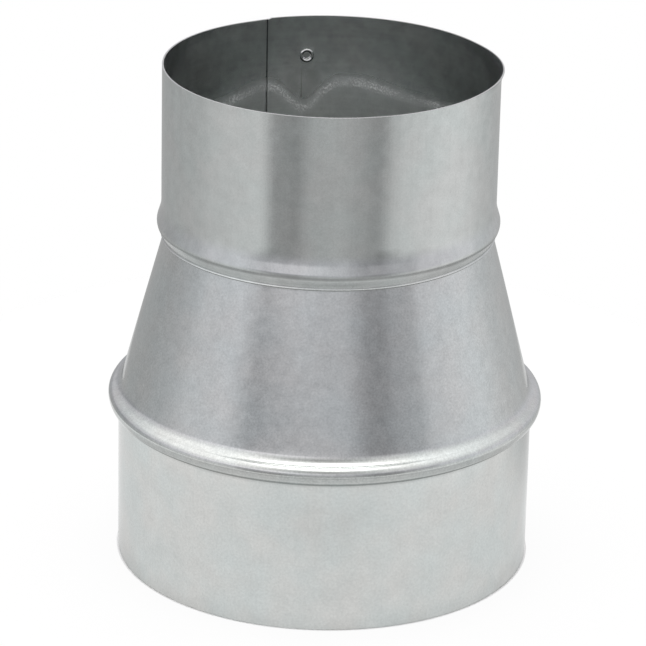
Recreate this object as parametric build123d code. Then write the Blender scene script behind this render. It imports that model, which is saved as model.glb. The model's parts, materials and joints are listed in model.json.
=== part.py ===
from build123d import *
import os
from math import acos, atan2, cos, degrees, hypot, radians, sin

# Round duct reducer in bright galvanised sheet: a large plain collar, a taper and a small plain collar.
# Each is one rolled sheet with a riveted lap. The taper and the small collar each swell into a bead at the
# foot, which is folded under the flared top of the sheet below and so locks the two together.
# Millimetres, +Z up, axis of the duct on Z, rim of the large collar on z = 0, front towards -Y.

# Sheet metal
sheet = 0.5                    # thickness of the galvanised sheet
seam_play = 0.06               # room between two sheets that lie on each other

# The two ends
large_bore = 127.0             # inside diameter of the large collar
small_bore = 101.0             # inside diameter of the small collar

# Heights along the axis
large_crest_height = 51.2      # rim of the large collar to the crest of the lower bead
crest_spacing = 56.6           # crest of the lower bead to crest of the upper bead
small_crest_depth = 49.3       # crest of the upper bead to the rim of the small collar

# Lower bead at the foot of the taper, measured on the outer skin
large_bead_proud = 3.1         # how far the crest stands out of the large collar's wall
large_bead_sweep = 3.7         # hollow radius where the taper turns out
large_bead_lean = 73.0         # steepest lean of the bead's top, from the axis
large_bead_shoulder = 2.45     # round of the bead up to its crest
large_fold_angle = 62.0        # lean of the folded edge under the flare, from the axis
large_fold = 0.4               # width of the folded edge past the round of the bead
large_flare_wrap = 45.0        # turn of the collar's flare round the inside of the bead

# Upper bead at the foot of the small collar, measured the same way
small_bead_proud = 1.35        # how far the crest stands out of the small collar's wall
small_bead_sweep = 15.75
small_bead_shoulder = 7.25
small_bead_nose = 1.5          # tight round past the crest
small_fold_angle = 27.5
small_fold = 3.8

# Flared tops of the large collar and the taper
flare_reach = 0.3              # the bend of a flare lies this far past the folded edge
flare_bend = 0.45              # hollow radius of that bend

# Riveted laps, all on one line at the back
seam_angle = 99.0              # place of the rivets round the duct, from +X towards +Y
lap_width = 25.4               # overlap of the two ends of a sheet
lap_notch = 1.5                # a lap stops this far short of the bend of a flare

# Rivets
rivet_from_rim = 13.0          # centre of a collar's rivet to the rim of the collar
rivet_shank = 3.2              # diameter of the shank, which fills its hole
rivet_head = 6.4               # diameter of the round head outside
rivet_head_crown = 1.1         # height of the head at its middle
rivet_head_rim = 0.4           # height of the head at its edge
rivet_ring = 4.4               # diameter of the rolled end inside
rivet_ring_proud = 0.2         # how far the rolled end stands into the duct
rivet_hollow = 2.6             # diameter of the hollow in the rolled end
rivet_hollow_depth = 1.1       # depth of that hollow, from the crest of the rolled end
rivet_seat = 0.15              # head and rolled end start this deep in the sheet, and are cut to fit it

lower_crest = large_crest_height
upper_crest = lower_crest + crest_spacing
small_rim = upper_crest + small_crest_depth
large_wall = large_bore / 2 + sheet
small_wall = small_bore / 2 + sheet
lap_step = sheet + seam_play


def step_from(point, way, distance):
    """Point of a (radius, height) section at a distance from another."""
    return (point[0] + way[0] * distance, point[1] + way[1] * distance)


def length_between(start, end):
    return hypot(end[0] - start[0], end[1] - start[1])


def way_between(start, end):
    length = length_between(start, end)
    return ((end[0] - start[0]) / length, (end[1] - start[1]) / length)


def facing(lean):
    """Outward way of a face that leans back from the axis by an angle."""
    return (cos(radians(lean)), sin(radians(lean)))


def upright(section, polar=0.0):
    """Stand a (radius, height) section up in the half plane at a polar angle."""
    return Rot(0, 0, polar) * Rot(90, 0, 0) * section


def rolled(skin, inner_side):
    """Closed round of sheet whose outer skin follows the given lines and arcs."""
    section = make_face(Wire(skin).offset_2d(sheet, side=inner_side))
    return revolve(upright(section), Axis.Z)


class Bead:
    """Bead and folded edge at the foot of a sheet, as points (radius, height) of its outer skin."""

    def __init__(self, crest, sweep, lean, shoulder, nose, fold_angle):
        self.sweep = sweep
        self.lean = lean
        self.shoulder = shoulder
        self.nose = nose
        self.fold_angle = fold_angle
        self.sweep_centre = step_from((crest[0] - shoulder, crest[1]), facing(lean), shoulder + sweep)
        fold_out = facing(-fold_angle)
        self.nose_end = step_from((crest[0] - nose, crest[1]), fold_out, nose)
        self.fold_way = (fold_out[1], -fold_out[0])
        self.fold_in = (-fold_out[0], -fold_out[1])

    def wall_end(self, wall_lean):
        """Where a straight wall of the given lean runs into the bead."""
        return step_from(self.sweep_centre, facing(wall_lean), -self.sweep)

    def on_fold(self, distance):
        """Point of the folded edge at a distance past the round of the bead."""
        return step_from(self.nose_end, self.fold_way, distance)

    def in_fold(self, distance):
        """Point of the flare that lies in the fold, on the flare's own outer skin."""
        return step_from(self.on_fold(distance), self.fold_in, lap_step)

    def skin(self, wall_lean, fold):
        """Outer skin from the end of the wall over the crest to the folded edge."""
        wall_face = facing(wall_lean)
        down = (wall_face[1], -wall_face[0])
        sweep = JernArc(self.wall_end(wall_lean), down, self.sweep, self.lean - wall_lean)
        shoulder = JernArc(sweep @ 1, sweep % 1, self.shoulder, -self.lean)
        nose = JernArc(shoulder @ 1, shoulder % 1, self.nose, -self.fold_angle)
        edge = Line(nose @ 1, self.on_fold(fold))
        return [sweep, shoulder, nose, edge]


class Lap:
    """Riveted lap along a straight wall, whose inner skin runs up from start to end.

    The inner layer stops at its edge. The other end of the sheet leaves the round along a flat
    tangent beside that edge, and goes on over the outside of the inner layer.
    """

    def __init__(self, start, end, rivet_distance):
        self.start = start
        self.end = end
        radius = (start[0] + end[0]) / 2
        half_turn = degrees(lap_width / 2 / radius)
        self.inner_edge = seam_angle + half_turn
        self.outer_edge = seam_angle - half_turn
        self.flat_start = self.inner_edge + degrees(acos(radius / (radius + lap_step)))
        way = way_between(start, end)
        centre = step_from(start, way, rivet_distance)
        self.out = (way[1], -way[0])
        seat = Plane((centre[0], 0, centre[1]), x_dir=(0, 1, 0), z_dir=(self.out[0], 0, self.out[1]))
        self.rivet_spot = Rot(0, 0, seam_angle) * seat.location

    def layer(self, low, high):
        """Section of the wall between two distances outwards of its inner skin."""
        corners = [
            step_from(self.start, self.out, low),
            step_from(self.end, self.out, low),
            step_from(self.end, self.out, high),
            step_from(self.start, self.out, high),
        ]
        return make_face(Polyline(*corners, close=True))

    def close(self, rolled_sheet):
        """Open the round beside the inner edge, add the flat and the outer layer, and drill the rivet's hole."""
        wall = self.layer(0, sheet)
        window = self.layer(-sheet, 2 * sheet)
        over = self.layer(lap_step, lap_step + sheet)
        opening = revolve(upright(window, self.inner_edge), Axis.Z, self.flat_start - self.inner_edge)
        flat = loft([upright(over, self.inner_edge), upright(wall, self.flat_start)], ruled=True)
        outer_layer = revolve(upright(over, self.outer_edge), Axis.Z, self.inner_edge - self.outer_edge)
        hole = self.rivet_spot * Cylinder(rivet_shank / 2, 4 * (lap_step + sheet))
        return rolled_sheet - opening + flat + outer_layer - hole

    def rivet(self, lapped_sheet):
        """Set rivet: round head outside, shank through both layers, rolled hollow end inside."""
        grip = lap_step + sheet
        crest = -rivet_ring_proud
        floor = crest + rivet_hollow_depth
        ring_middle = (rivet_ring + rivet_hollow) / 4
        head_under = grip - rivet_seat
        crown = (0, grip + rivet_head_crown)
        head_edge = (rivet_head / 2, grip + rivet_head_rim)
        hollow_mouth = (rivet_hollow / 2, 0)
        ring_edge = (rivet_ring / 2, 0)
        rolled_end = ThreePointArc(hollow_mouth, (ring_middle, crest), ring_edge)
        shank = Polyline(
            ring_edge,
            (rivet_ring / 2, rivet_seat),
            (rivet_shank / 2, rivet_seat),
            (rivet_shank / 2, head_under),
            (rivet_head / 2, head_under),
            head_edge,
        )
        dome = TangentArc(crown, head_edge, tangent=(1, 0))
        hollow = Polyline(crown, (0, floor), (rivet_hollow / 2, floor), hollow_mouth)
        section = make_face([*rolled_end.edges(), *shank.edges(), *dome.edges(), *hollow.edges()])
        return self.rivet_spot * revolve(upright(section), Axis.Z) - lapped_sheet


# Beads: the round under the lower crest is what is left beside the fold, which ends at the large collar's wall
large_flare_run = large_fold + flare_reach
large_fold_face = facing(-large_fold_angle)
large_fold_depth = lap_step * large_fold_face[0] - large_flare_run * large_fold_face[1]
large_bead_nose = (large_bead_proud - large_fold_depth) / (1 - large_fold_face[0])
large_bead = Bead((large_wall + large_bead_proud, lower_crest), large_bead_sweep, large_bead_lean,
                  large_bead_shoulder, large_bead_nose, large_fold_angle)
small_bead_lean = degrees(acos(1 - small_bead_proud / (small_bead_sweep + small_bead_shoulder)))
small_bead = Bead((small_wall + small_bead_proud, upper_crest), small_bead_sweep, small_bead_lean,
                  small_bead_shoulder, small_bead_nose, small_fold_angle)

# Large collar: straight wall, then a flare that follows the inside of the lower bead
collar_bend = large_bead.in_fold(large_flare_run)
collar_skin = FilletPolyline((large_wall, 0), collar_bend, large_bead.in_fold(0), radius=flare_bend)
collar_flare = JernArc(collar_skin @ 1, collar_skin % 1, large_bead_nose - lap_step, large_flare_wrap)
large_ring = rolled([*collar_skin.edges(), collar_flare], Side.LEFT)
large_lap = Lap((large_bore / 2, 0), (large_bore / 2, collar_bend[1] - lap_notch), rivet_from_rim)
large_collar = large_lap.close(large_ring)

# Taper: flared into the upper bead, then straight down to the sweep of the lower bead, which it touches
head_bend = small_bead.in_fold(small_fold + flare_reach)
sweep_run = length_between(head_bend, large_bead.sweep_centre)
sweep_fall = atan2(large_bead.sweep_centre[1] - head_bend[1], large_bead.sweep_centre[0] - head_bend[0])
taper_lean = degrees(sweep_fall + acos(large_bead_sweep / sweep_run))
taper_foot = large_bead.wall_end(taper_lean)
taper_head = FilletPolyline(small_bead.in_fold(0), head_bend, taper_foot, radius=flare_bend)
taper_ring = rolled([*taper_head.edges(), *large_bead.skin(taper_lean, large_fold)], Side.RIGHT)
taper_out = facing(taper_lean)
lap_foot = step_from(taper_foot, taper_out, -sheet)
lap_head = step_from(step_from(head_bend, way_between(head_bend, taper_foot), lap_notch), taper_out, -sheet)
taper_lap = Lap(lap_foot, lap_head, length_between(lap_foot, lap_head) / 2)
taper = taper_lap.close(taper_ring)

# Small collar: straight wall down to the sweep of the upper bead
small_wall_end = small_bead.wall_end(0)
small_ring = rolled([Line((small_wall, small_rim), small_wall_end), *small_bead.skin(0, small_fold)], Side.RIGHT)
small_rise = small_rim - small_wall_end[1]
small_lap = Lap((small_bore / 2, small_wall_end[1]), (small_bore / 2, small_rim), small_rise - rivet_from_rim)
small_collar = small_lap.close(small_ring)

# Rivets, one in each lap
rivets = [
    large_lap.rivet(large_collar),
    taper_lap.rivet(taper),
    small_lap.rivet(small_collar),
]

os.makedirs("parts", exist_ok=True)
export_step(large_collar, "parts/large_collar.step")
export_step(taper, "parts/taper.step")
export_step(small_collar, "parts/small_collar.step")
export_step(Compound(children=rivets), "parts/seam_rivets.step")
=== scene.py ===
import json
from math import acos, atan2, ceil, cos, pi, radians, sin

import bmesh
import bpy
from mathutils import Matrix, Vector, noise


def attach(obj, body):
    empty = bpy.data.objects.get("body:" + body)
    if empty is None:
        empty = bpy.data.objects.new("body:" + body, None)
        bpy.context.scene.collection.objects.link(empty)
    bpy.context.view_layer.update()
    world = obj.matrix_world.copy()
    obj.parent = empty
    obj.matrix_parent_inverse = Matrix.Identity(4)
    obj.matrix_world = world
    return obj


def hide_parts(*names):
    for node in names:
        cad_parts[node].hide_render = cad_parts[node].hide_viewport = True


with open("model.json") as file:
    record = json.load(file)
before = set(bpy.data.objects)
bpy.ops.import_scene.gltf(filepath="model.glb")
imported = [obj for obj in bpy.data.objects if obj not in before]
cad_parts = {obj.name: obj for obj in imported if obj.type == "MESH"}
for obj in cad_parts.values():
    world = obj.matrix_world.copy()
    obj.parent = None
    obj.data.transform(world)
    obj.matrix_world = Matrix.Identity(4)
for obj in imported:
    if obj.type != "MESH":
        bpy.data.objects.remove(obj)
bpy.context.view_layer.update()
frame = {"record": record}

# Small collar: a strip of bright galvanised steel, half a millimetre thick, rolled round, lapped at the back
# and riveted. Its foot swells into the upper bead and is folded under the flared head of the taper, where the
# sheared edge kept a fine lip. It left the rolls a little untrue: its bead lies askew and its rim is bent.
MM = 0.001
SHEET = 0.5 * MM
SEAM_PLAY = 0.06 * MM
LAP_STEP = SHEET + SEAM_PLAY
LAP_WIDTH = 25.4 * MM
SEAM_ANGLE = radians(99.0)
ROUND_STEPS = 300
CLOSING_STEPS = 6
ARC_STEP = radians(6.0)
WALL_ROW = 1.6 * MM
WELD = 0.001 * MM
SHEET_WAVE = 0.05 * MM
SHEET_WAVE_SPACING = 30 * MM
EDGE_EASE = 0.09 * MM
EASED_ANGLE = radians(50)
RIVET_FROM_RIM = 13.0 * MM
RIVET_SHANK = 3.2 * MM
RIVET_DIMPLE = 0.12 * MM
DIMPLE_RADIUS = 1.7 * RIVET_SHANK / 2
HOLE_SIDES = 32
SMALL_CREST_DEPTH = 49.3 * MM
SMALL_CREST_PROUD = 1.35 * MM
SMALL_SWEEP = 12 * MM
SMALL_LEAN = radians(17.5)
SMALL_SHOULDER = 2.5 * MM
SMALL_NOSE = 3.4 * MM
SMALL_FOLD_LEAN = radians(27.5)
SMALL_FOLD = 2.75 * MM
LIP_ROUND = 0.55 * MM
LIP_TURN = radians(84)
RIM_DROP = 0.45 * MM
RIM_DROP_RUN = radians(75)
RIM_BEND = 0.9 * MM
RIM_BEND_DEPTH = 3.2 * MM
RIM_BEND_SPAN = radians(34)
BEAD_LIFT = 0.45 * MM
BEAD_SKEW = 0.65 * MM
COLLAR_LEVEL_ABOVE = 139 * MM
COLLAR_ASKEW_BELOW = 117 * MM


def facing(lean):
    """Outward way, in a section (radius, 0, height), of a face that leans back from the axis by an angle."""
    return Vector((cos(lean), 0, sin(lean)))


class Bead:
    """Bead and folded edge at the foot of a sheet, as points of its outer skin in the section."""

    def __init__(self, crest, sweep, lean, flank, shoulder, nose, fold_lean):
        self.sweep = sweep
        self.lean = lean
        self.fold_lean = fold_lean
        self.shoulder_centre = crest - Vector((shoulder, 0, 0))
        self.flank_end = self.shoulder_centre + facing(lean) * shoulder
        self.sweep_centre = self.flank_end + facing(lean) * sweep + facing(lean + pi / 2) * flank
        self.nose_centre = crest - Vector((nose, 0, 0))
        fold_out = facing(-fold_lean)
        self.nose_end = self.nose_centre + fold_out * nose
        self.fold_way = Vector((fold_out.z, 0, -fold_out.x))
        self.fold_in = -fold_out

    def wall_end(self, wall_lean):
        """Where a straight wall of the given lean runs into the bead."""
        return self.sweep_centre - facing(wall_lean) * self.sweep

    def on_fold(self, distance):
        """Point of the folded edge at a distance past the round of the bead."""
        return self.nose_end + self.fold_way * distance

    def in_fold(self, distance):
        """Point of the flare that lies in the fold, on the flare's own outer skin."""
        return self.on_fold(distance) + self.fold_in * LAP_STEP

    def draw(self, bm, vert, wall_lean, fold):
        """Carry a section on from the end of its wall over the bead to the folded edge."""
        vert = carry_arc(bm, vert, self.sweep_centre, self.lean - wall_lean)
        vert = carry_line(bm, vert, self.flank_end)
        vert = carry_arc(bm, vert, self.shoulder_centre, -self.lean)
        vert = carry_arc(bm, vert, self.nose_centre, -self.fold_lean)
        return carry_line(bm, vert, self.on_fold(fold), 2)


def carry_line(bm, vert, point, steps=1):
    """Carry a section on from a vertex, straight to a point."""
    start = vert.co.copy()
    for step in range(steps):
        vert = bmesh.ops.extrude_vert_indiv(bm, verts=[vert])["verts"][0]
        vert.co = start.lerp(point, (step + 1) / steps)
    return vert


def carry_arc(bm, vert, centre, turn):
    """Carry a section on from a vertex round a centre, outwards on a downward path for a positive turn."""
    steps = max(3, ceil(abs(turn) / ARC_STEP))
    arc = bmesh.ops.spin(bm, geom=[vert], cent=centre, axis=(0, -1, 0), angle=turn, steps=steps)
    return next(item for item in arc["geom_last"] if isinstance(item, bmesh.types.BMVert))


def wall_rows(start, end):
    """Number of rows of faces in a straight wall."""
    return round((end - start).length / WALL_ROW)


class Lap:
    """Riveted lap along a straight wall, whose outer skin runs up the section from start to end."""

    def __init__(self, start, end, rivet_distance):
        along = (end - start).normalized()
        self.start = start
        self.end = end
        self.out = Vector((along.z, 0, -along.x))
        self.radius = (start.x + end.x) / 2 - SHEET * self.out.x
        self.half_turn = LAP_WIDTH / 2 / self.radius
        self.flat_turn = acos(self.radius / (self.radius + LAP_STEP))
        self.inner_edge = SEAM_ANGLE + self.half_turn
        centre = start + along * rivet_distance - self.out * SHEET
        upright = Matrix((Vector((0, 1, 0)), along, self.out)).transposed().to_4x4()
        self.rivet_spot = Matrix.Rotation(SEAM_ANGLE, 4, "Z") @ Matrix.Translation(centre) @ upright

    def roll(self, bm):
        """Roll the drawn section round, with the outer end of the wall laid over its inner end."""
        flat_start = self.inner_edge + self.flat_turn
        about = {"cent": (0, 0, 0), "axis": (0, 0, 1)}

        def in_wall(edge):
            return self.start.z < (edge.verts[0].co.z + edge.verts[1].co.z) / 2 < self.end.z

        bmesh.ops.rotate(bm, verts=bm.verts[:], cent=(0, 0, 0), matrix=Matrix.Rotation(flat_start, 3, "Z"))
        first_wall = [edge for edge in bm.edges if in_wall(edge)]
        section = bm.verts[:] + bm.edges[:]
        rolled = bmesh.ops.spin(bm, geom=section, angle=2 * pi - self.flat_turn, steps=ROUND_STEPS, **about)
        last_edges = [item for item in rolled["geom_last"] if isinstance(item, bmesh.types.BMEdge)]
        closing = [edge for edge in last_edges if not in_wall(edge)]
        closing += list({vert for edge in closing for vert in edge.verts})
        bmesh.ops.spin(bm, geom=closing, angle=self.flat_turn, steps=CLOSING_STEPS, **about)

        flat = bmesh.ops.extrude_edge_only(bm, edges=first_wall)["geom"]
        flat_verts = [item for item in flat if isinstance(item, bmesh.types.BMVert)]
        flat_edges = [item for item in flat if isinstance(item, bmesh.types.BMEdge)]
        back_turn = Matrix.Rotation(-self.flat_turn, 3, "Z")
        bmesh.ops.rotate(bm, verts=flat_verts, cent=(0, 0, 0), matrix=back_turn)
        outwards = Matrix.Rotation(self.inner_edge, 3, "Z") @ self.out
        bmesh.ops.translate(bm, verts=flat_verts, vec=outwards * LAP_STEP)
        lap_steps = round(ROUND_STEPS * self.half_turn / pi)
        lap_turn = -2 * self.half_turn
        bmesh.ops.spin(bm, geom=flat_verts + flat_edges, angle=lap_turn, steps=lap_steps, **about)
        bmesh.ops.remove_doubles(bm, verts=bm.verts[:], dist=WELD)
        bmesh.ops.recalc_face_normals(bm, faces=bm.faces[:])

    def drill(self, bm):
        """Open the hole for the rivet's shank in both layers, dished a little where the rivet was set."""
        spot = self.rivet_spot
        into_spot = spot.inverted()
        for layer in (SHEET, SHEET + LAP_STEP):

            def in_patch(face):
                place = into_spot @ face.calc_center_median()
                return place.xy.length < DIMPLE_RADIUS and abs(place.z - layer) < LAP_STEP / 2

            patch = {face for face in bm.faces if in_patch(face)}
            patch_edges = {edge for face in patch for edge in face.edges}
            rim = {edge for edge in patch_edges if len(patch.intersection(edge.link_faces)) == 1}
            bmesh.ops.delete(bm, geom=list(patch), context="FACES")
            circle = bmesh.ops.create_circle(bm, segments=HOLE_SIDES, radius=RIVET_SHANK / 2, matrix=spot)
            hole = circle["verts"]
            for vert in hole:
                place = into_spot @ vert.co
                place.z = layer + RIVET_DIMPLE - place.x**2 / (2 * self.radius)
                vert.co = spot @ place
            hole_edges = {edge for vert in hole for edge in vert.link_edges}
            bmesh.ops.bridge_loops(bm, edges=list(rim | hole_edges))
        bmesh.ops.recalc_face_normals(bm, faces=bm.faces[:])


def finish_sheet(bm, name, node, materials):
    """Give a rolled skin slight waves, its thickness and eased cut edges, in the place of its CAD node."""
    outward = sum(face.normal.xy.dot(face.calc_center_median().xy) for face in bm.faces)
    if outward < 0:
        bmesh.ops.reverse_faces(bm, faces=bm.faces[:])
    for vert in bm.verts:
        radial = Vector((vert.co.x, vert.co.y, 0)).normalized()
        vert.co += radial * SHEET_WAVE * noise.noise(vert.co / SHEET_WAVE_SPACING)
    for face in bm.faces:
        face.smooth = True
    mesh = bpy.data.meshes.new(name)
    bm.to_mesh(mesh)
    bm.free()
    piece = bpy.data.objects.new(name, mesh)
    bpy.context.scene.collection.objects.link(piece)
    for material in materials:
        mesh.materials.append(material)
    wall = piece.modifiers.new("sheet_thickness", "SOLIDIFY")
    wall.thickness = SHEET
    wall.offset = -1
    wall.use_even_offset = True
    wall.use_quality_normals = True
    wall.material_offset_rim = 1
    ease = piece.modifiers.new("eased_cut_edges", "BEVEL")
    ease.width = EDGE_EASE
    ease.segments = 2
    ease.limit_method = "ANGLE"
    ease.angle_limit = EASED_ANGLE
    ease.harden_normals = True
    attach(piece, "root")
    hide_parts(node)


def drop_rim(bm, lap):
    """Let the rim of the outer layer down at the lap, running out round the collar."""
    height = lap.end.z - lap.start.z
    for vert in bm.verts:
        past_edge = (atan2(vert.co.y, vert.co.x) - lap.inner_edge) % (2 * pi)
        over_lap = vert.co.xy.length > lap.end.x + LAP_STEP / 2 and past_edge > pi
        run = 0 if over_lap else min(1, past_edge / RIM_DROP_RUN)
        share = max(0, (vert.co.z - lap.start.z) / height)
        vert.co.z -= RIM_DROP * share * (1 - run) ** 2


def bend_rim(bm, lap):
    """Bend the rim out a little on the right, where it was knocked."""
    for vert in bm.verts:
        turn = atan2(vert.co.y, vert.co.x) / RIM_BEND_SPAN
        depth = (lap.end.z - vert.co.z) / RIM_BEND_DEPTH
        if abs(turn) < 1 and depth < 1:
            radial = Vector((vert.co.x, vert.co.y, 0)).normalized()
            vert.co += radial * RIM_BEND * (1 - turn**2) ** 2 * (1 - depth) ** 2


def bead_shift(place, level_height, askew_height):
    """Rise of a place near the upper bead, which was rolled a little high and askew."""
    share = min(1, max(0, (place.z - level_height) / (askew_height - level_height)))
    rise = BEAD_LIFT + BEAD_SKEW * (place.x / place.xy.length) ** 3
    return Vector((0, 0, rise * share**2 * (3 - 2 * share)))


def linear(hex_colour):
    """Linear RGBA of an sRGB hex colour."""
    channels = [int(hex_colour[place:place + 2], 16) / 255 for place in (1, 3, 5)]
    return (*[c / 12.92 if c <= 0.04045 else ((c + 0.055) / 1.055) ** 2.4 for c in channels], 1)


def add_node(tree, kind, sockets=None, stops=None, **settings):
    """Add a shader node with its settings, its sockets set or linked from other nodes, and a ramp's stops."""
    node = tree.nodes.new("ShaderNode" + kind)
    for name, value in settings.items():
        setattr(node, name, value)
    for name, value in (sockets or {}).items():
        if isinstance(value, bpy.types.Node):
            value = value.outputs[0]
        if isinstance(value, bpy.types.NodeSocket):
            tree.links.new(value, node.inputs[name])
        else:
            node.inputs[name].default_value = value
    for number, (spot, colour) in enumerate(stops or []):
        elements = node.color_ramp.elements
        stop = elements[number] if number < 2 else elements.new(spot)
        stop.position = spot
        stop.color = colour
    return node


def new_material(name):
    """An empty node material with its output, and the Object coordinates that its patterns read."""
    material = bpy.data.materials.new(name)
    material.use_nodes = True
    tree = material.node_tree
    tree.nodes.clear()
    output = add_node(tree, "OutputMaterial")
    place = add_node(tree, "TexCoord").outputs["Object"]
    return material, tree, output, place


# Zinc of all three sheets: how its grazing edges dim, the sizes of its patches, streaks and rolled lines, how
# rough it is outside and inside, and how far lines and darker clouds mark the inside. Noise runs from low to
# high.
ZINC_EDGE = 0.85
NOISE_LOW, NOISE_HIGH = 0.3, 0.7
TINT_PATCH = 16 * MM
TINT_LOW, TINT_HIGH = 0.35, 0.65
STREAK_WIDTH = 0.8 * MM
STREAK_STRETCH = 0.04
STREAK_RELIEF = 0.006 * MM
LINE_WIDTH = 1.2 * MM
LINE_STRETCH = 0.05
SATIN_ROUGHNESS = (0.10, 0.16)
INNER_ROUGHNESS = 0.24
ROLLED_LINES = 0.24
INNER_CLOUDS = 0.24
INNER_DARKENING = 0.62


def galvanised_sheet(name, warm, cool, speck_size, cloud_size, speck, clouds, streaks, lined_below=0.0):
    """Bright galvanised sheet: a satin zinc skin with fine specks, soft clouds and faint rolling streaks.

    The shares of speck, clouds and streaks say how far each lightens and darkens the zinc. The specks of real
    zinc are finer, and are drawn as coarse as they need to show. The skin inside the duct is duller and
    darker in clouds, with faint lines round the duct where the rolls ran, and so lined is a fold below a
    given height.
    """
    material, tree, output, place = new_material(name)
    fine = add_node(tree, "TexNoise", {"Vector": place, "Scale": 1 / speck_size, "Detail": 3.0})
    cloud = add_node(tree, "TexNoise", {"Vector": place, "Scale": 1 / cloud_size, "Detail": 4.0})
    tint = add_node(tree, "TexNoise", {"Vector": place, "Scale": 1 / TINT_PATCH, "Detail": 2.0})
    along_axis = add_node(tree, "Mapping", {"Vector": place, "Scale": (1, 1, STREAK_STRETCH)})
    streak = add_node(tree, "TexNoise", {"Vector": along_axis, "Scale": 1 / STREAK_WIDTH, "Detail": 3.0})
    around = add_node(tree, "Mapping", {"Vector": place, "Scale": (LINE_STRETCH, LINE_STRETCH, 1)})
    line = add_node(tree, "TexNoise", {"Vector": around, "Scale": 1 / LINE_WIDTH, "Detail": 4.0})
    radial = add_node(tree, "VectorMath", {0: place, 1: (1, 1, 0)}, operation="MULTIPLY")
    normal = add_node(tree, "NewGeometry").outputs["Normal"]
    outward = add_node(tree, "VectorMath", {0: radial, 1: normal}, operation="DOT_PRODUCT").outputs["Value"]
    inside = add_node(tree, "Math", {0: outward, 1: 0.0}, operation="LESS_THAN", name="inside_duct")
    height = add_node(tree, "SeparateXYZ", {0: place}).outputs["Z"]
    folded = add_node(tree, "Math", {0: height, 1: lined_below}, operation="LESS_THAN")
    lined = add_node(tree, "Math", {0: inside, 1: folded}, operation="MAXIMUM")
    lines = add_node(tree, "MapRange", {0: line, 3: -0.5, 4: 0.5})
    lines = add_node(tree, "Math", {0: lines, 1: lined}, operation="MULTIPLY")
    darker_inside = add_node(tree, "Math", {0: cloud, 1: INNER_DARKENING}, operation="SUBTRACT")
    darker_inside = add_node(tree, "Math", {0: darker_inside, 1: inside}, operation="MULTIPLY")
    shade = 1 - (speck + clouds + streaks) / 2
    patterns = (
        (fine, speck),
        (cloud, clouds),
        (streak, streaks),
        (lines, ROLLED_LINES),
        (darker_inside, INNER_CLOUDS),
    )
    for pattern, share in patterns:
        shade = add_node(tree, "Math", {0: pattern, 1: share, 2: shade}, operation="MULTIPLY_ADD")
    patches = add_node(tree, "MapRange", {0: tint, 1: TINT_LOW, 2: TINT_HIGH})
    hue = add_node(tree, "Mix", {0: patches, 6: linear(cool), 7: linear(warm)}, data_type="RGBA").outputs[2]
    colour = add_node(tree, "VectorMath", {0: hue, "Scale": shade}, operation="SCALE")
    smoothest, roughest = SATIN_ROUGHNESS
    satin = add_node(tree, "MapRange", {0: cloud, 1: NOISE_LOW, 2: NOISE_HIGH, 3: smoothest, 4: roughest})
    rough = add_node(tree, "Mix", {0: lined, 2: satin, 3: INNER_ROUGHNESS})
    bump = add_node(tree, "Bump", {"Height": streak, "Strength": 1.0, "Distance": STREAK_RELIEF})
    zinc = add_node(
        tree,
        "BsdfPrincipled",
        {
            "Base Color": colour,
            "Metallic": 1.0,
            "Specular Tint": (ZINC_EDGE, ZINC_EDGE, ZINC_EDGE, 1),
            "Roughness": rough,
            "Normal": bump,
        },
    )
    tree.links.new(zinc.outputs[0], output.inputs[0])
    return material


# Frosted line inside the small collar, with painted light: near white painted along it as reflected light.
# Its course is given by direction in degrees and height in millimetres, which a ramp holds as shares of a
# round height. With it go a painted glow, the rougher zinc below it that is painted lighter, and the scratch
# in its dip.
FROST_GLOW_LINE = [
    (58, 132), (74, 134.5), (84, 135.5), (90, 134.5), (95, 130.5), (99, 127), (104, 129), (109, 133.5),
    (116, 134.5), (130, 131.5), (145, 131),
]
FROST_GLOW_ROUND_HEIGHT = 200
FROST_GLOW_CORE = 0.4 * MM
FROST_GLOW_WIDTH = 2.9 * MM
SPARK_GRAIN = 0.55 * MM
SPARK_LOW, SPARK_HIGH = 0.44, 0.60
SPARK_PATCH = 9 * MM
SPARK_PATCH_LOW, SPARK_PATCH_HIGH = 0.35, 0.6
SPARK_THINNEST = 0.55
FROST_RELIEF = 0.05 * MM
FROST_ROUGHNESS = 0.63
GLOW_HAZE_WIDTH = 3.8 * MM
GLOW_HAZE_SHARE = 0.17
DULL_GLOW_SHARE = 0.24
DULL_GLOW_RUN = 4.5 * MM
SCRATCH_ANGLE = radians(100.8)
SCRATCH_CORE = radians(0.1)
SCRATCH_EDGE = radians(0.3)
SCRATCH_SHARE = 0.5
SCRATCH_TOP = 141 * MM
SCRATCH_FOOT = 130.5 * MM


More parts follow.
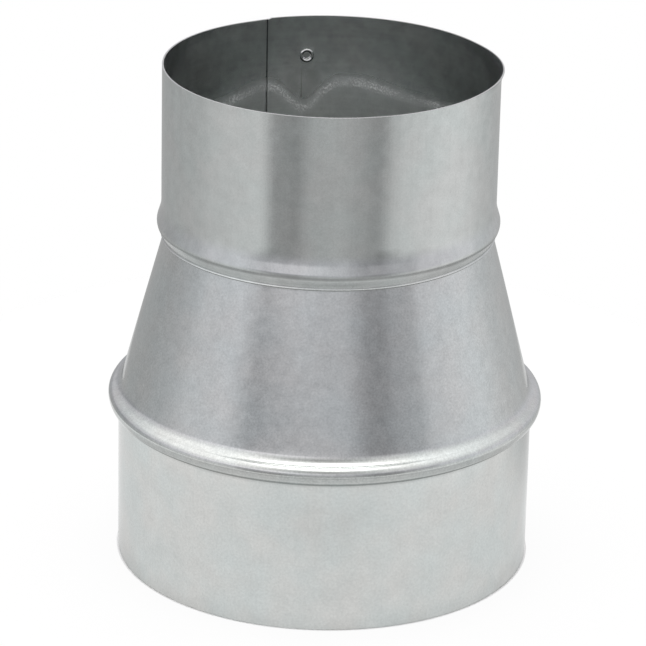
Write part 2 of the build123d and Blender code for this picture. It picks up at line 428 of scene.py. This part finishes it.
def frost_glow_inside(material):
    """Frosted line inside the small collar that dips below the rivet, with a scratch in the dip. The line is
    painted light: its colour, its glow and the zinc below it are painted towards white as sparkling reflected
    light, and the line and the zinc below it are also rougher.

    The sparks of real zinc are finer; the painted ones, on bumps, are drawn as coarse as they need to show.
    """
    tree = material.node_tree
    zinc = tree.nodes["Principled BSDF"]
    inside = tree.nodes["inside_duct"]
    place = tree.nodes["Texture Coordinate"].outputs["Object"]
    at = add_node(tree, "SeparateXYZ", {0: place})
    polar = add_node(tree, "Math", {0: at.outputs["Y"], 1: at.outputs["X"]}, operation="ARCTAN2")
    first, last = FROST_GLOW_LINE[0][0], FROST_GLOW_LINE[-1][0]
    share = add_node(tree, "MapRange", {0: polar, 1: radians(first), 2: radians(last)})
    stops = []
    for turn, height in FROST_GLOW_LINE:
        level = height / FROST_GLOW_ROUND_HEIGHT
        stops.append(((turn - first) / (last - first), (level, level, level, 1)))
    course = add_node(tree, "ValToRGB", {0: share}, stops)
    course.color_ramp.interpolation = "CARDINAL"
    line = add_node(tree, "Math", {0: course, 1: FROST_GLOW_ROUND_HEIGHT * MM}, operation="MULTIPLY")
    off_line = add_node(tree, "Math", {0: at.outputs["Z"], 1: line}, operation="SUBTRACT")
    distance = add_node(tree, "Math", {0: off_line}, operation="ABSOLUTE")
    soft = {"interpolation_type": "SMOOTHSTEP"}
    band = add_node(tree, "MapRange", {0: distance, 1: FROST_GLOW_CORE, 2: FROST_GLOW_WIDTH, 3: 1.0, 4: 0.0}, **soft)
    glow_haze = add_node(tree, "MapRange", {0: distance, 2: GLOW_HAZE_WIDTH, 3: GLOW_HAZE_SHARE, 4: 0.0}, **soft)
    dull_glow = add_node(tree, "MapRange", {0: off_line, 2: DULL_GLOW_RUN, 3: DULL_GLOW_SHARE, 4: 0.0}, **soft)
    dull_glow = add_node(tree, "Math", {0: dull_glow, 1: glow_haze}, operation="ADD")
    spark = add_node(tree, "TexNoise", {"Vector": place, "Scale": 1 / SPARK_GRAIN, "Detail": 2.0})
    grains = add_node(tree, "MapRange", {0: spark, 1: SPARK_LOW, 2: SPARK_HIGH})
    patch = add_node(tree, "TexNoise", {"Vector": place, "Scale": 1 / SPARK_PATCH, "Detail": 1.0})
    thin = add_node(tree, "MapRange", {0: patch, 1: SPARK_PATCH_LOW, 2: SPARK_PATCH_HIGH, 3: SPARK_THINNEST})
    for part in (band, thin):
        grains = add_node(tree, "Math", {0: grains, 1: part}, operation="MULTIPLY")
    frost_glow = add_node(tree, "Math", {0: dull_glow, 1: grains}, operation="MAXIMUM")
    frost_glow = add_node(tree, "Math", {0: frost_glow, 1: inside}, operation="MULTIPLY")
    rough = zinc.inputs["Roughness"].links[0].from_socket
    rough = add_node(tree, "Mix", {0: frost_glow, 2: rough, 3: FROST_ROUGHNESS})
    colour = zinc.inputs["Base Color"].links[0].from_socket
    # Painted light: the frosted line, its glow and the zinc below it are painted near white.
    colour = add_node(tree, "Mix", {0: frost_glow, 6: colour, 7: linear("#FAFCFB")}, data_type="RGBA").outputs[2]

    past = add_node(tree, "Math", {0: polar, 1: SCRATCH_ANGLE}, operation="SUBTRACT")
    past = add_node(tree, "Math", {0: past}, operation="ABSOLUTE")
    scratch_span = {0: past, 1: SCRATCH_CORE, 2: SCRATCH_EDGE, 3: SCRATCH_SHARE, 4: 0.0}
    scratch = add_node(tree, "MapRange", scratch_span)
    below = add_node(tree, "MapRange", {0: at.outputs["Z"], 1: SCRATCH_TOP, 2: SCRATCH_FOOT})
    above = add_node(tree, "Math", {0: at.outputs["Z"], 1: SCRATCH_FOOT}, operation="GREATER_THAN")
    for part in (below, above, inside):
        scratch = add_node(tree, "Math", {0: scratch, 1: part}, operation="MULTIPLY")
    colour = add_node(tree, "Mix", {0: scratch, 6: colour, 7: linear("#202222")}, data_type="RGBA").outputs[2]
    relief = add_node(tree, "Math", {0: grains, 1: inside}, operation="MULTIPLY")
    flat = zinc.inputs["Normal"].links[0].from_socket
    relief = add_node(tree, "Bump", {"Height": relief, "Distance": FROST_RELIEF, "Normal": flat})
    tree.links.new(relief.outputs[0], zinc.inputs["Normal"])
    tree.links.new(rough.outputs[0], zinc.inputs["Roughness"])
    tree.links.new(colour, zinc.inputs["Base Color"])


SHEAR_GRAIN = 0.8 * MM


def cut_steel(name, colour, smoothest, roughest):
    """Cut or set steel: bare and bright, with the slight unevenness that the tool left."""
    material, tree, output, place = new_material(name)
    shear = add_node(tree, "TexNoise", {"Vector": place, "Scale": 1 / SHEAR_GRAIN, "Detail": 2.0})
    rough = add_node(tree, "MapRange", {0: shear, 1: NOISE_LOW, 2: NOISE_HIGH, 3: smoothest, 4: roughest})
    steel = add_node(
        tree, "BsdfPrincipled", {"Base Color": linear(colour), "Metallic": 1.0, "Roughness": rough}
    )
    tree.links.new(steel.outputs[0], output.inputs[0])
    return material


def paint_facing_shade(material, way, least, most, colour):
    """Paint shade into the colour of the faces of a steel that look a given way."""
    tree = material.node_tree
    steel = tree.nodes["Principled BSDF"]
    normal = add_node(tree, "NewGeometry").outputs["Normal"]
    looks = add_node(tree, "VectorMath", {0: normal, 1: way}, operation="DOT_PRODUCT").outputs["Value"]
    # Painted shade: faces that look the given way are darkened towards the given colour.
    shade_share = add_node(tree, "MapRange", {0: looks, 1: least, 2: most})
    bare_colour = tuple(steel.inputs["Base Color"].default_value)
    mixed = add_node(tree, "Mix", {0: shade_share, 6: bare_colour, 7: linear(colour)}, data_type="RGBA")
    tree.links.new(mixed.outputs[2], steel.inputs["Base Color"])


mounts = {mount["name"]: mount for mount in frame["record"]["mounts"]}
small_rim = Vector((mounts["small_end"]["dims"]["r_mm"] * MM + SHEET, 0, mounts["small_end"]["pos_m"][2]))
small_rounds_reach = (SMALL_SWEEP + SMALL_SHOULDER) * (1 - cos(SMALL_LEAN))
small_bead = Bead(
    crest=small_rim + Vector((SMALL_CREST_PROUD, 0, -SMALL_CREST_DEPTH)),
    sweep=SMALL_SWEEP,
    lean=SMALL_LEAN,
    flank=(SMALL_CREST_PROUD - small_rounds_reach) / sin(SMALL_LEAN),
    shoulder=SMALL_SHOULDER,
    nose=SMALL_NOSE,
    fold_lean=SMALL_FOLD_LEAN,
)
small_wall_end = small_bead.wall_end(0)
small_lap = Lap(small_wall_end, small_rim, small_rim.z - small_wall_end.z - RIVET_FROM_RIM)
collar_zinc = galvanised_sheet(
    "bright_galvanised_collar_sheet",
    warm="#C9CBCA",
    cool="#C6CBCA",
    speck_size=0.55 * MM,
    cloud_size=3.5 * MM,
    speck=0.24,
    clouds=0.30,
    streaks=0.06,
    lined_below=108.5 * MM,
)
frost_glow_inside(collar_zinc)
# The sheared edges are bright, with painted shade for the slit only on a lap's inner edge, which looks left.
cut_edge = cut_steel("sheared_steel_edge", "#B9BBBA", smoothest=0.25, roughest=0.4)
paint_facing_shade(cut_edge, way=(-1, 0, 0), least=0.86, most=0.9, colour="#5C5E5D")
bm = bmesh.new()
vert = carry_line(bm, bm.verts.new(small_rim), small_wall_end, wall_rows(small_rim, small_wall_end))
vert = small_bead.draw(bm, vert, 0, SMALL_FOLD - LIP_ROUND)
carry_arc(bm, vert, vert.co - small_bead.fold_in * LIP_ROUND, LIP_TURN)
small_lap.roll(bm)
small_lap.drill(bm)
drop_rim(bm, small_lap)
bend_rim(bm, small_lap)
for vert in bm.verts:
    vert.co += bead_shift(vert.co, COLLAR_LEVEL_ABOVE, COLLAR_ASKEW_BELOW)
finish_sheet(bm, "rolled_small_collar", "small_collar", [collar_zinc, cut_edge])

# Taper: a cone rolled from the same gauge of sheet, a little bluer and more grained. Its head is flared out
# into the fold of the small collar and follows its bead. Its foot is swept out into the lower bead and folded
# under the flared top of the large collar. Its lap stops just short of the flare.
FLARE_REACH = 0.3 * MM
FLARE_BEND = 0.45 * MM
FLARE_STEPS = 5
LAP_NOTCH = 1.5 * MM
LARGE_CREST_HEIGHT = 51.2 * MM
LARGE_CREST_PROUD = 3.1 * MM
LARGE_SWEEP = 3.7 * MM
LARGE_LEAN = radians(73)
LARGE_SHOULDER = 2.45 * MM
LARGE_FOLD_LEAN = radians(62)
LARGE_FOLD = 0.4 * MM
TAPER_LEVEL_BELOW = 60 * MM
TAPER_ASKEW_ABOVE = 101 * MM


def round_bend(bm, corner):
    """Round the corner of a section where a wall turns out into its flare."""
    ways = [(edge.other_vert(corner).co - corner.co).normalized() for edge in corner.link_edges]
    half_turn = (pi - ways[0].angle(ways[1])) / 2
    offset = FLARE_BEND * sin(half_turn) / cos(half_turn)
    bmesh.ops.bevel(
        bm, geom=[corner], affect="VERTICES", offset=offset, segments=FLARE_STEPS, profile=0.5, material=-1
    )


large_rim = Vector((mounts["large_end"]["dims"]["r_mm"] * MM + SHEET, 0, mounts["large_end"]["pos_m"][2]))
large_fold_depth = LAP_STEP * cos(LARGE_FOLD_LEAN) + (LARGE_FOLD + FLARE_REACH) * sin(LARGE_FOLD_LEAN)
large_bead = Bead(
    crest=large_rim + Vector((LARGE_CREST_PROUD, 0, LARGE_CREST_HEIGHT)),
    sweep=LARGE_SWEEP,
    lean=LARGE_LEAN,
    flank=0,
    shoulder=LARGE_SHOULDER,
    nose=(LARGE_CREST_PROUD - large_fold_depth) / (1 - cos(LARGE_FOLD_LEAN)),
    fold_lean=LARGE_FOLD_LEAN,
)
head_bend = small_bead.in_fold(SMALL_FOLD + FLARE_REACH)
to_sweep = large_bead.sweep_centre - head_bend
taper_lean = atan2(to_sweep.z, to_sweep.x) + acos(large_bead.sweep / to_sweep.length)
taper_foot = large_bead.wall_end(taper_lean)
taper_head = head_bend + (taper_foot - head_bend).normalized() * LAP_NOTCH
taper_lap = Lap(taper_foot, taper_head, (taper_head - taper_foot).length / 2)
taper_zinc = galvanised_sheet(
    "bright_galvanised_taper_sheet",
    warm="#C8CAC8",
    cool="#C5CAC9",
    speck_size=0.6 * MM,
    cloud_size=3 * MM,
    speck=0.48,
    clouds=0.26,
    streaks=0.03,
)
bm = bmesh.new()
corner = carry_line(bm, bm.verts.new(small_bead.in_fold(0)), head_bend, 2)
vert = carry_line(bm, corner, taper_head)
vert = carry_line(bm, vert, taper_foot, wall_rows(taper_head, taper_foot))
large_bead.draw(bm, vert, taper_lean, LARGE_FOLD)
round_bend(bm, corner)
taper_lap.roll(bm)
taper_lap.drill(bm)
for vert in bm.verts:
    vert.co += bead_shift(vert.co, TAPER_LEVEL_BELOW, TAPER_ASKEW_ABOVE)
rivet_shift = bead_shift(taper_lap.rivet_spot.translation, TAPER_LEVEL_BELOW, TAPER_ASKEW_ABOVE)
taper_lap.rivet_spot = Matrix.Translation(rivet_shift) @ taper_lap.rivet_spot
finish_sheet(bm, "rolled_taper", "taper", [taper_zinc, cut_edge])

# Large collar: a third strip of the same bright sheet, rolled, lapped and riveted in the same way. Its top is
# flared outwards inside the lower bead, whose fold it holds. The reducer stands on its cut lower rim.
FLARE_WRAP = radians(45)
collar_bend = large_bead.in_fold(LARGE_FOLD + FLARE_REACH)
large_lap = Lap(large_rim, collar_bend - Vector((0, 0, LAP_NOTCH)), RIVET_FROM_RIM)
large_zinc = galvanised_sheet(
    "bright_galvanised_large_collar_sheet",
    warm="#CBCCCA",
    cool="#C7CCCB",
    speck_size=0.7 * MM,
    cloud_size=6 * MM,
    speck=0.28,
    clouds=0.20,
    streaks=0.05,
)
bm = bmesh.new()
vert = carry_line(bm, bm.verts.new(large_rim), large_lap.end, wall_rows(large_rim, large_lap.end))
corner = carry_line(bm, vert, collar_bend)
vert = carry_line(bm, corner, large_bead.in_fold(0), 2)
carry_arc(bm, vert, large_bead.nose_centre, FLARE_WRAP)
round_bend(bm, corner)
large_lap.roll(bm)
large_lap.drill(bm)
finish_sheet(bm, "rolled_large_collar", "large_collar", [large_zinc, cut_edge])

# Seam rivets: three plated steel rivets, one through each lap. A low round head lies outside, and the hollow
# end is rolled over into a small ring inside the duct.
RIVET_HEAD = 6.4 * MM
HEAD_CROWN = 1.1 * MM
HEAD_RIM = 0.4 * MM
RIVET_RING = 4.4 * MM
RING_PROUD = 0.2 * MM
RIVET_HOLLOW = 2.6 * MM
HOLLOW_DEPTH = 1.1 * MM
HOLLOW_ROUND = 0.3 * MM
RIVET_STEPS = 48
RIVET_CREASE = radians(55)


def draw_rivet(bm, grip):
    """Draw the half section of a set rivet, from the bottom of its hollow round to the crown of its head."""
    floor = HOLLOW_DEPTH - RING_PROUD
    half_ring = (RIVET_RING - RIVET_HOLLOW) / 4
    ring_radius = (half_ring**2 + RING_PROUD**2) / (2 * RING_PROUD)
    ring_turn = 2 * acos((ring_radius - RING_PROUD) / ring_radius)
    ring_centre = Vector(((RIVET_RING + RIVET_HOLLOW) / 4, 0, ring_radius - RING_PROUD))
    head_rise = HEAD_CROWN - HEAD_RIM
    dome_radius = ((RIVET_HEAD / 2) ** 2 + head_rise**2) / (2 * head_rise)
    dome_turn = acos((dome_radius - head_rise) / dome_radius)
    hollow_round = Vector((RIVET_HOLLOW / 2 - HOLLOW_ROUND, 0, floor - HOLLOW_ROUND))
    vert = bm.verts.new((0, 0, floor))
    vert = carry_line(bm, vert, Vector((hollow_round.x, 0, floor)))
    vert = carry_arc(bm, vert, hollow_round, -pi / 2)
    vert = carry_line(bm, vert, Vector((RIVET_HOLLOW / 2, 0, 0)))
    vert = carry_arc(bm, vert, ring_centre, ring_turn)
    corners = [
        (RIVET_RING / 2, SHEET / 2),
        (RIVET_SHANK / 2, SHEET / 2),
        (RIVET_SHANK / 2, grip),
        (RIVET_HEAD / 2, grip),
        (RIVET_HEAD / 2, grip + HEAD_RIM),
    ]
    for radius, height in corners:
        vert = carry_line(bm, vert, Vector((radius, 0, height)))
    carry_arc(bm, vert, Vector((0, 0, grip + HEAD_CROWN - dome_radius)), dome_turn)


rivet_mesh = bpy.data.meshes.new("set_rivets")
bm = bmesh.new()
for lap in (small_lap, taper_lap, large_lap):
    one = bmesh.new()
    draw_rivet(one, LAP_STEP + SHEET)
    section = one.verts[:] + one.edges[:]
    about = {"cent": (0, 0, 0), "axis": (0, 0, 1)}
    bmesh.ops.spin(one, geom=section, angle=2 * pi, steps=RIVET_STEPS, use_merge=True, **about)
    bmesh.ops.remove_doubles(one, verts=one.verts[:], dist=WELD)
    bmesh.ops.recalc_face_normals(one, faces=one.faces[:])
    bmesh.ops.transform(one, matrix=lap.rivet_spot, verts=one.verts[:])
    one.to_mesh(rivet_mesh)
    one.free()
    bm.from_mesh(rivet_mesh)
for face in bm.faces:
    face.smooth = True
bm.to_mesh(rivet_mesh)
bm.free()
rivet_mesh.set_sharp_from_angle(angle=RIVET_CREASE)
rivets = bpy.data.objects.new("set_rivets", rivet_mesh)
bpy.context.scene.collection.objects.link(rivets)
# The plating is bright, with painted shade on the faces of the ring that look down and into the duct.
rivet_steel = cut_steel("zinc_plated_rivet_steel", "#D6D8D7", smoothest=0.08, roughest=0.16)
paint_facing_shade(rivet_steel, way=(0, -0.35, -0.94), least=0.3, most=0.5, colour="#3C3E3D")
rivet_mesh.materials.append(rivet_steel)
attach(rivets, "root")
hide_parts("seam_rivets")

# Floor: a plain white table top, whose white runs out into the white of the room. Along its top it shines
# more than from above. It is shaded in front, at the reducer's foot, behind it and at the back right, and
# the reducer keeps the light off the floor inside it. From below it isn't seen.
FLOOR_PLAIN = 176 * MM
FLOOR_REACH = 181 * MM
REAR_STRETCH = 0.72
FLOOR_SIDES = 96
SHADED_FLOOR = 64.5 * MM
SHADOW_SHARE = 0.10
SLANT_ABOVE, SLANT_ALONG = 0.40, 0.60
SHINE_ABOVE = [(115 * MM, 0.72), (150 * MM, 0.42)]
FOOT_LIFT = [(68 * MM, 1.2), (85 * MM, 1.0)]
REAR_LIFT = [(30 * MM, 1.0), (80 * MM, 1.8)]
SHINE_ALONG = [(150 * MM, 1.01), (170 * MM, 1.14)]
FOOT_SHADE = [(SHADED_FLOOR, 0.86), (73 * MM, 1.0)]
REAR_SHADE = [(110 * MM, 1.0), (190 * MM, 0.62)]
FRONT_SHADE = [(0, 0.90), (32 * MM, 1.0)]
FRONT_SHADE_SPOT = (0, -143 * MM, 0)
FRONT_SHADE_WIDENING = (0.34, 1, 0)
SIDE_SHADE = [(0, 0.62), (80 * MM, 1.0)]
SIDE_SHADE_SPOT = (125 * MM, 90 * MM, 0)
bm = bmesh.new()
bmesh.ops.create_circle(bm, cap_ends=True, segments=FLOOR_SIDES, radius=FLOOR_REACH / REAR_STRETCH)
floor_mesh = bpy.data.meshes.new("white_table_top")
bm.to_mesh(floor_mesh)
bm.free()
floor = bpy.data.objects.new("white_table_top", floor_mesh)
bpy.context.scene.collection.objects.link(floor)
table_white, tree, output, place = new_material("white_table_top")
at = add_node(tree, "SeparateXYZ", {0: place})
distance = add_node(tree, "VectorMath", {0: place}, operation="LENGTH").outputs["Value"]
rear = add_node(tree, "Math", {0: at.outputs["Y"], 1: REAR_STRETCH}, operation="MULTIPLY")
rear = add_node(tree, "Math", {0: at.outputs["Y"], 1: rear}, operation="MINIMUM")
drawn_in = add_node(tree, "CombineXYZ", {0: at.outputs["X"], 1: rear})
reach = add_node(tree, "VectorMath", {0: drawn_in}, operation="LENGTH").outputs["Value"]
fade_span = {0: reach, 1: FLOOR_PLAIN, 2: FLOOR_REACH}
fade = add_node(tree, "MapRange", fade_span, interpolation_type="SMOOTHSTEP")
widened = add_node(tree, "VectorMath", {0: place, 1: FRONT_SHADE_WIDENING}, operation="MULTIPLY")
to_front = add_node(tree, "VectorMath", {0: widened, 1: FRONT_SHADE_SPOT}, operation="DISTANCE")
to_side = add_node(tree, "VectorMath", {0: place, 1: SIDE_SHADE_SPOT}, operation="DISTANCE")


def blend_levels(tree, measured_levels):
    """Product of levels, each of which runs between two values of something measured on the floor."""
    product = None
    for measure, ((start, first), (end, last)) in measured_levels:
        level = add_node(tree, "MapRange", {0: measure, 1: start, 2: end, 3: first, 4: last})
        product = add_node(tree, "Math", {0: product, 1: level}, operation="MULTIPLY") if product else level
    return product


from_above = blend_levels(tree, [
    (distance, SHINE_ABOVE),
    (distance, FOOT_LIFT),
    (at.outputs["Y"], REAR_LIFT),
])
from_along = blend_levels(tree, [
    (reach, SHINE_ALONG),
    (to_front.outputs["Value"], FRONT_SHADE),
    (distance, FOOT_SHADE),
    (at.outputs["Y"], REAR_SHADE),
    (to_side.outputs["Value"], SIDE_SHADE),
])
path = add_node(tree, "LightPath")
slant = add_node(tree, "LayerWeight", {"Blend": 0.5}).outputs["Facing"]
slope = add_node(tree, "MapRange", {0: slant, 1: SLANT_ABOVE, 2: SLANT_ALONG})
shine = add_node(tree, "Mix", {0: slope, 2: from_above, 3: from_along})
shine = add_node(tree, "Mix", {0: path.outputs["Is Camera Ray"], 2: shine, 3: 1.0})
seen = path.outputs["Is Camera Ray"]
for ray in ("Is Glossy Ray", "Is Transmission Ray"):
    seen = add_node(tree, "Math", {0: seen, 1: path.outputs[ray]}, operation="MAXIMUM")
outside = add_node(tree, "Math", {0: distance, 1: SHADED_FLOOR}, operation="GREATER_THAN")
seen = add_node(tree, "Math", {0: seen, 1: outside}, operation="MULTIPLY")
matt = add_node(tree, "BsdfDiffuse", {"Color": linear("#EAEAEA")})
glow = add_node(tree, "Emission", {"Strength": shine})
lit = add_node(tree, "MixShader", {0: SHADOW_SHARE, 1: glow, 2: matt})
shown = add_node(tree, "MixShader", {0: seen, 1: matt, 2: lit})
below = add_node(tree, "NewGeometry").outputs["Backfacing"]
gone = add_node(tree, "Math", {0: fade, 1: below}, operation="MAXIMUM")
clear = add_node(tree, "BsdfTransparent")
top = add_node(tree, "MixShader", {0: gone, 1: shown, 2: clear})
tree.links.new(top.outputs[0], output.inputs[0])
floor_mesh.materials.append(table_white)

# Room and light: a white studio with a tall soft light at each side, a grey wall with two darker gaps behind
# the camera and one broad light overhead, lowest on the left. Each row gives a rise, the light's tint and
# its levels by direction, in degrees. Directions count from the front, where the camera is, to the right.
ROOM_LIGHT = [
    (-28, (1.0, 1.0, 1.0), [(-180, 0.40), (180, 0.40)]),
    (-20.6, (1.0, 1.0, 1.0), [
        (-180, 0.54), (-110, 0.63), (-80, 0.75), (-46, 0.90), (-37, 0.44), (-22, 0.41), (-12, 0.56),
        (8, 0.60), (24, 0.51), (33, 0.44), (44, 0.86), (60, 0.92), (85, 0.98), (105, 0.93), (125, 0.77),
        (155, 0.66), (180, 0.54),
    ]),
    (-18, (1.0, 1.0, 1.0), [
        (-180, 0.48), (-150, 0.55), (-105, 0.58), (-80, 0.74), (-48, 0.79), (-38, 0.40), (-22, 0.34),
        (-12, 0.56), (8, 0.58), (36, 0.35), (50, 0.75), (85, 0.95), (105, 0.93), (125, 0.75), (155, 0.62),
        (180, 0.48),
    ]),
    (6, (1.01, 1.0, 1.05), [
        (-180, 0.66), (-127, 0.46), (-95, 0.65), (-86, 0.79), (-57, 0.84), (-41, 0.51), (-26, 0.58),
        (12, 0.66), (25, 0.39), (33, 0.35), (42, 0.49), (56, 0.56), (63, 0.78), (98, 0.92), (125, 0.73),
        (150, 0.84), (180, 0.66),
    ]),
    (16, (1.03, 1.0, 1.045), [
        (-180, 0.80), (-127, 0.74), (-90, 0.96), (-60, 1.16), (-30, 1.20), (-16, 1.20), (3, 0.84), (26, 0.59),
        (38, 0.66), (60, 0.80), (100, 0.93), (125, 0.85), (180, 0.80),
    ]),
    (28, (1.01, 1.0, 1.02), [
        (-180, 0.85), (-140, 0.82), (-62, 1.20), (-20, 1.00), (0, 0.76), (20, 0.76), (42, 0.92), (102, 0.98),
        (122, 0.88), (180, 0.85),
    ]),
    (46, (1.01, 1.0, 1.0), [
        (-180, 1.25), (-80, 1.50), (-46, 1.28), (-25, 0.76), (0, 0.45), (46, 0.98), (70, 1.18), (180, 1.25),
    ]),
    (60, (1.01, 1.0, 1.0), [(-180, 1.60), (-54, 1.50), (0, 0.84), (54, 1.30), (180, 1.60)]),
    (70, (1.01, 1.0, 0.99), [(-180, 1.60), (180, 1.60)]),
    (78, (1.01, 1.0, 0.99), [(-180, 3.70), (180, 3.70)]),
]
world = bpy.data.worlds.new("white_studio")
bpy.context.scene.world = world
world.use_nodes = True
tree = world.node_tree
tree.nodes.clear()
way = add_node(tree, "SeparateXYZ", {0: add_node(tree, "TexCoord").outputs["Generated"]})
front = add_node(tree, "Math", {0: way.outputs["Y"], 1: -1.0}, operation="MULTIPLY")
direction = add_node(tree, "Math", {0: way.outputs["X"], 1: front}, operation="ARCTAN2")
round_share = add_node(tree, "MapRange", {0: direction, 1: -pi, 2: pi})
room = None
for rise, tint, levels in ROOM_LIGHT:
    stops = [((angle + 180) / 360, (*[level * share for share in tint], 1)) for angle, level in levels]
    row = add_node(tree, "ValToRGB", {0: round_share}, stops).outputs[0]
    if room:
        rise_span = {0: way.outputs["Z"], 1: sin(radians(lower_rise)), 2: sin(radians(rise))}
        rise_share = add_node(tree, "MapRange", rise_span)
        row = add_node(tree, "Mix", {0: rise_share, 6: room, 7: row}, data_type="RGBA").outputs[2]
    lower_rise = rise
    room = row
camera_ray = add_node(tree, "LightPath").outputs["Is Camera Ray"]
picture = add_node(tree, "Mix", {0: camera_ray, 6: room, 7: (1, 1, 1, 1)}, data_type="RGBA").outputs[2]
studio = add_node(tree, "Background", {0: picture, 1: 1.0})
add_node(tree, "OutputWorld", {0: studio})
bpy.context.scene.view_settings.view_transform = "Standard"

# Camera: a little over a metre in front of the reducer, looking down on it through a long lens, and rolled by
# about a degree.
CAMERA_RISE = radians(21.48)
CAMERA_DISTANCE = 1.156
CAMERA_TARGET = Vector((-0.0010, 0, 0.07368))
CAMERA_ROLL = radians(1.254)
CAMERA_SENSOR = 36.0
CAMERA_LENS = 208.92
camera_data = bpy.data.cameras.new("camera")
camera_data.sensor_width = CAMERA_SENSOR
camera_data.lens = CAMERA_LENS
camera = bpy.data.objects.new("camera", camera_data)
bpy.context.scene.collection.objects.link(camera)
back = Vector((0, -cos(CAMERA_RISE), sin(CAMERA_RISE)))
turn = (-back).to_track_quat("-Z", "Y").to_matrix().to_4x4() @ Matrix.Rotation(CAMERA_ROLL, 4, "Z")
camera.matrix_world = Matrix.Translation(CAMERA_TARGET + back * CAMERA_DISTANCE) @ turn
bpy.context.scene.camera = camera
